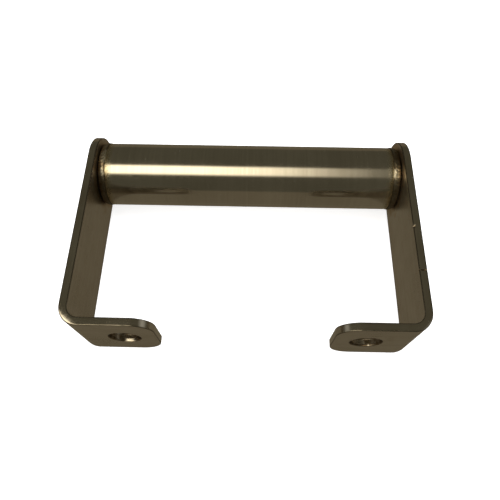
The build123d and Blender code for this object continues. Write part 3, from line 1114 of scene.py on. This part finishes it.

# what the steel mirrors below it: a brown table top that glows instead of being lit, with painted shade from an AO ramp
# next to the parts
table = plane("table_seen_by_steel", -0.0001, 3.0)
m = bpy.data.materials.new("table_mirrored")
m.use_nodes = True
g = G(m.node_tree)
out = g.add("ShaderNodeOutputMaterial")
em = g.add("ShaderNodeEmission")
ao = g.add("ShaderNodeAmbientOcclusion", samples=8)
ao.inputs["Distance"].default_value = 0.004
shade = g.mix(1.0, (0.150, 0.125, 0.082, 1), g.ramp(ao.outputs["AO"], [(0.0, (0.50, 0.48, 0.46)), (0.8, (1, 1, 1))]), "MULTIPLY")
g.put(em, "Color", shade)
em.inputs["Strength"].default_value = 1.0
m.node_tree.links.new(em.outputs[0], out.inputs["Surface"])
table.data.materials.append(m)
table.visible_camera = False
table.visible_diffuse = False
table.visible_shadow = False
table.visible_transmission = False

# backdrop dome, seen by the camera only
import bmesh

bm = bmesh.new()
bmesh.ops.create_uvsphere(bm, u_segments=48, v_segments=24, radius=5.0)
dome_mesh = bpy.data.meshes.new("backdrop")
bm.to_mesh(dome_mesh)
bm.free()
dome = bpy.data.objects.new("backdrop", dome_mesh)
scene.collection.objects.link(dome)
m = bpy.data.materials.new("backdrop_pale")
m.use_nodes = True
g = G(m.node_tree)
out = g.add("ShaderNodeOutputMaterial")
em = g.add("ShaderNodeEmission")
em.inputs["Color"].default_value = (1.0, 1.0, 1.0, 1)
em.inputs["Strength"].default_value = 1.0
m.node_tree.links.new(em.outputs[0], out.inputs["Surface"])
dome.data.materials.append(m)
dome.visible_diffuse = False
dome.visible_glossy = False
dome.visible_transmission = False
dome.visible_shadow = False
dome.visible_volume_scatter = False

# plain studio: an even dim room, one long soft light overhead, one soft light beyond each end of the roller
world = bpy.data.worlds.new("room")
scene.world = world
world.use_nodes = True
g = G(world.node_tree)
out = g.add("ShaderNodeOutputWorld")
bg = g.add("ShaderNodeBackground")
world.node_tree.links.new(bg.outputs[0], out.inputs["Surface"])
direction = g.add("ShaderNodeTexCoord").outputs["Generated"]
sep = g.add("ShaderNodeSeparateXYZ")
g.put(sep, 0, direction)
dx, dy, dz = sep.outputs
phi = g.math("MULTIPLY", g.math("ARCTAN2", dz, dy), 180 / math.pi)
room = (0.088, 0.079, 0.053, 1)
overhead = g.math("MULTIPLY", g.remap(phi, 84.0, 94.0, smooth=True), g.remap(phi, 126.0, 114.0, smooth=True))
overhead = g.math("MULTIPLY", overhead, g.remap(dx, 0.30, -0.15, smooth=True))
side = g.math("MULTIPLY", g.remap(dx, -0.70, -0.95, smooth=True), g.remap(dz, 0.0, 0.5, smooth=True))
side_r = g.math("MULTIPLY", g.remap(dx, 0.60, 0.90, smooth=True), g.remap(dz, 0.0, 0.5, smooth=True))
total = g.mix(overhead, room, (2.60, 2.30, 1.70, 1))
total = g.mix(g.math("MAXIMUM", side, side_r), total, (0.42, 0.40, 0.34, 1))
# even white light for matt surfaces
path_info = g.add("ShaderNodeLightPath")
total = g.mix(path_info.outputs["Is Diffuse Ray"], total, (0.85, 0.85, 0.85, 1))
g.put(bg, "Color", total)
bg.inputs["Strength"].default_value = 1.0

# soft key from above, for the floor and its shadow
sun = bpy.data.lights.new("soft_key", "SUN")
sun.energy = 1.3
sun.angle = math.radians(58)
sun.color = (1.0, 0.995, 0.985)
sun_o = bpy.data.objects.new("soft_key", sun)
sun_o.rotation_euler = (math.radians(-14), math.radians(10), 0)
sun_o.visible_glossy = False
scene.collection.objects.link(sun_o)

# ---------------------------------------------------------------------------
# Camera at the photograph's place
# ---------------------------------------------------------------------------
cam_data = bpy.data.cameras.new("camera")
cam_data.sensor_width = 36.0
cam_data.lens = 36.0 * 483.70 / 500.0
cam_data.clip_start, cam_data.clip_end = 0.01, 50.0
cam = bpy.data.objects.new("camera", cam_data)
yaw, pitch, roll = -0.0262629, 1.1326412, 0.0054040
cy, sy, cp, sp = math.cos(yaw), math.sin(yaw), math.cos(pitch), math.sin(pitch)
fwd = Vector((sy * cp, cy * cp, -sp))
rgt = Vector((cy, -sy, 0.0))
dwn = fwd.cross(rgt)
cr, sr = math.cos(roll), math.sin(roll)
r_row = cr * rgt + sr * dwn
d_row = -sr * rgt + cr * dwn
rot = Matrix((r_row, -d_row, -fwd)).transposed()
cam.matrix_world = Matrix.Translation((0.00420646, -0.11619860, 0.24909267)) @ rot.to_4x4()
scene.collection.objects.link(cam)
scene.camera = cam
scene.view_settings.view_transform = "Standard"
scene.view_settings.look = "None"
